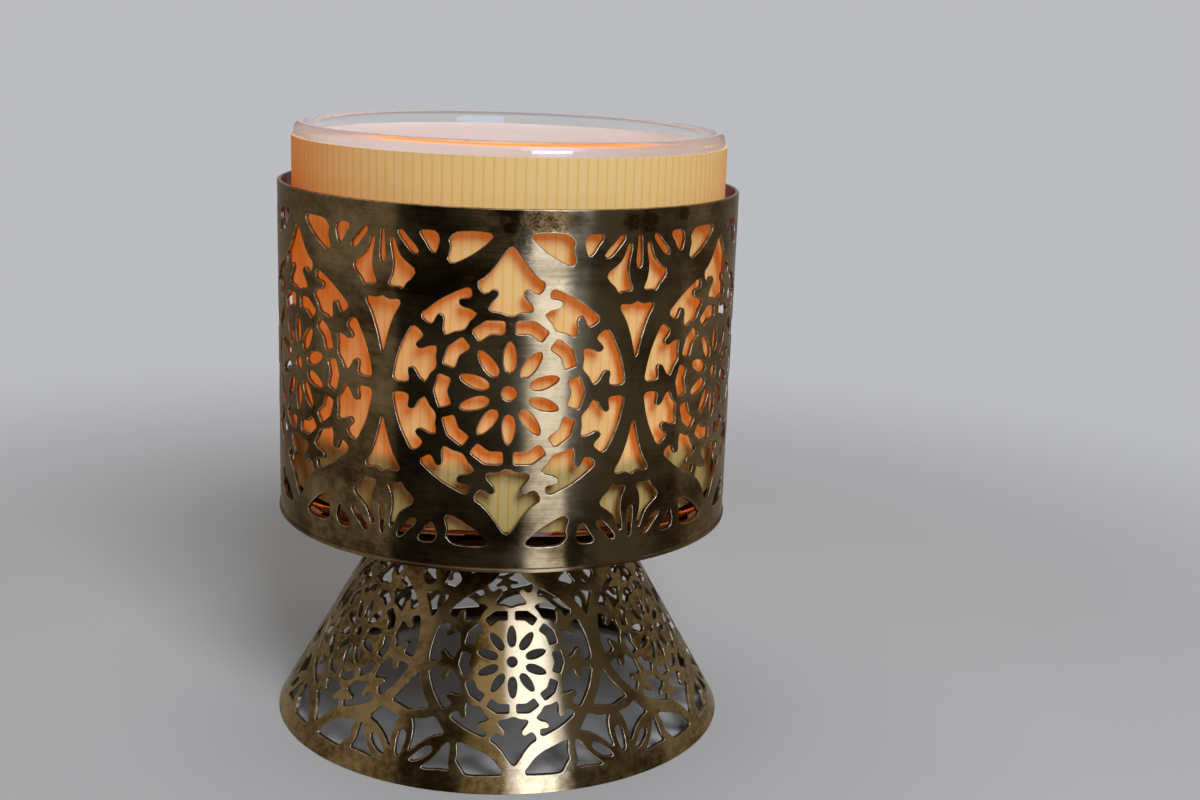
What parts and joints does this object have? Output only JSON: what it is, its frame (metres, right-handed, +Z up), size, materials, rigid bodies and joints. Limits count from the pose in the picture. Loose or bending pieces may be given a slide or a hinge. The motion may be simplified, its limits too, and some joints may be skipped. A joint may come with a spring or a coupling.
{
  "type": "perforated candle holder",
  "caption": "Perforated brass drum on a cone-shaped perforated pedestal, holding a lift-out jar candle whose light shows through the cut pattern.",
  "frame": {"origin": "centre of the circle that the foot of the pedestal stands on", "axes": "+Z up along the axis of the drum and the pedestal; the pictured side faces -Y"},
  "size_m": [0.108, 0.108, 0.1406],
  "materials": {
    "brass": "antiqued, brushed round the drum, with a dark patina",
    "glass": "clear, polished",
    "wrap": "thin cream film with fine upright lines, lit from inside",
    "wax": "cream candle wax",
    "wick": "braided cotton, charred at the top",
    "tab_steel": "thin stamped sheet"
  },
  "bodies": {
    "holder": {"pedestal_cone": "brass", "floor_plate": "brass", "drum_sleeve": "brass"},
    "candle": {"jar_glass": "glass", "jar_wrap": "wrap", "wax_fill": "wax", "wick_tab_1": "tab_steel", "wick_tab_2": "tab_steel", "wick_tab_3": "tab_steel", "wick_1": "wick", "wick_2": "wick", "wick_3": "wick"}
  },
  "joints": [
    {"name": "candle_lift", "type": "slide", "parent": "holder", "child": "candle", "axis": [0, 0, 1], "range_m": [0, 0.085]}
  ]
}
